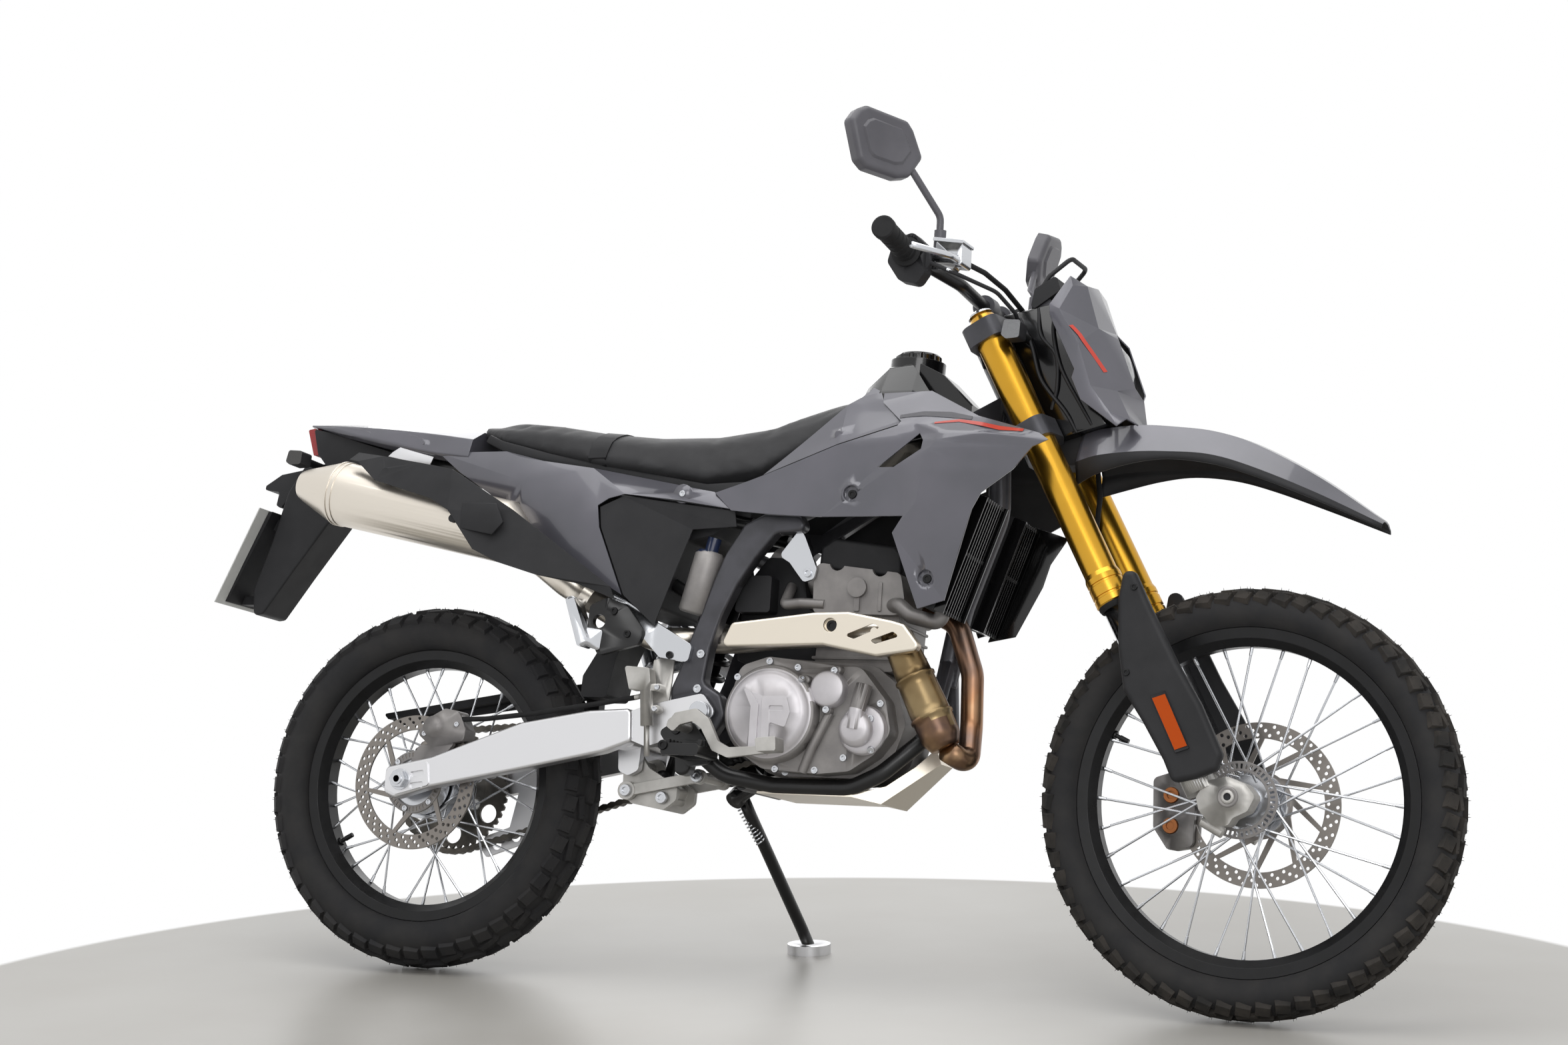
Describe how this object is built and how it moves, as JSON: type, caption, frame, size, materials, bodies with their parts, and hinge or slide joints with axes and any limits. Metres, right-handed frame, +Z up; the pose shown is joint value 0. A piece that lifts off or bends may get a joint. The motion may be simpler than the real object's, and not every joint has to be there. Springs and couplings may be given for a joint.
{
  "type": "dual sport motorcycle",
  "caption": "Road-legal off-road motorcycle with spoked wheels, long forks, a tall seat, raised fender and high muffler, leaning on its side stand.",
  "frame": {"origin": "on the ground under the centre of the leaning machine's bounding box", "axes": "+X forward, +Y to the rider's left, +Z up; the machine leans 12 degrees to its left on its side stand"},
  "size_m": [2.2916, 0.8279, 1.4829],
  "materials": {
    "black_anodised": "satin black",
    "black_paint": "satin black",
    "black_plastic": "matt moulded black",
    "body_grey": "dark grey metallic gloss",
    "bright_steel": "bright steel",
    "brushed_aluminium": "brushed",
    "cast_aluminium": "cast, satin",
    "chain_steel": "oiled steel",
    "champagne": "champagne satin",
    "chrome": "hard chrome",
    "clear_lens": "clear lens",
    "core_black": "black cooling core",
    "disc_steel": "ground steel",
    "engine_grey": "warm grey casting paint",
    "frame_grey": "dark grey paint",
    "gold_anodised": "gold anodised",
    "grip_rubber": "black rubber",
    "heat_steel": "heat-tinted bronze",
    "red_lens": "red lens",
    "seat_cover": "charcoal grained cover",
    "smoked_lens": "smoked lens",
    "tyre_rubber": "matt black tread",
    "warm_steel": "satin stainless"
  },
  "bodies": {
    "chassis": {"rear_axle_and_pivot": "bright_steel", "engine_cases": "engine_grey", "engine_covers": "engine_grey", "cylinder_and_head": "engine_grey", "head_cover": "black_paint", "chain": "chain_steel", "swingarm": "brushed_aluminium", "rear_shock": "black_paint", "shock_spring": "black_paint", "main_frame": "frame_grey", "suspension_linkage": "cast_aluminium", "subframe": "black_paint", "exhaust_header": "heat_steel", "muffler": "warm_steel", "heat_shield": "champagne", "muffler_guard": "black_plastic", "radiators": "core_black", "radiator_guards": "black_plastic", "fuel_tank": "black_plastic", "fuel_cap": "black_plastic", "seat": "seat_cover", "side_panels": "body_grey", "inner_panels": "black_plastic", "tank_panels": "body_grey", "shrouds": "body_grey", "tail_cowl": "body_grey", "tail_light": "red_lens", "rear_indicators": "smoked_lens", "plate_holder": "black_plastic", "licence_plate": "black_plastic", "skid_plate": "brushed_aluminium", "footpegs": "black_paint", "passenger_pegs": "cast_aluminium", "chain_guard": "black_plastic", "foot_controls": "cast_aluminium", "rear_brake": "black_paint"},
    "rear_wheel": {"rear_tyre": "tyre_rubber", "rear_rim": "black_anodised", "rear_hub_and_spokes": "bright_steel", "rear_disc": "disc_steel", "rear_sprocket": "bright_steel"},
    "steering": {"fork_outer_tubes": "gold_anodised", "fork_lower_legs": "chrome", "triple_clamps": "black_paint", "fork_guards": "black_plastic", "front_fender": "body_grey", "handlebar": "black_paint", "grips": "grip_rubber", "hand_controls": "black_plastic", "mirrors": "black_plastic", "headlight": "clear_lens", "headlight_cowl": "body_grey", "instrument": "black_plastic", "front_indicators": "smoked_lens", "front_caliper": "black_paint"},
    "front_wheel": {"front_tyre": "tyre_rubber", "front_rim": "black_anodised", "front_hub_and_spokes": "bright_steel", "front_disc": "disc_steel"},
    "side_stand": {"side_stand": "black_paint"}
  },
  "joints": [
    {"name": "steering_turn", "type": "hinge", "parent": "chassis", "child": "steering", "pos_m": [0.37781, -0.04738, 0.99982], "axis": [-0.4619, 0.1844, 0.8676], "range_deg": [-42, 48]},
    {"name": "front_wheel_spin", "type": "hinge", "parent": "steering", "child": "front_wheel", "pos_m": [0.79918, -0.19042, 0.34395], "axis": [0.0492, 0.982, -0.1825], "continuous": true},
    {"name": "rear_wheel_spin", "type": "hinge", "parent": "chassis", "child": "rear_wheel", "pos_m": [-0.69073, -0.19132, 0.32249], "axis": [0, 0.9781, -0.2079], "continuous": true},
    {"name": "side_stand_fold", "type": "hinge", "parent": "chassis", "child": "side_stand", "pos_m": [-0.13873, -0.06835, 0.31433], "axis": [0.2399, 0.8044, 0.5435], "range_deg": [0, 96]}
  ]
}
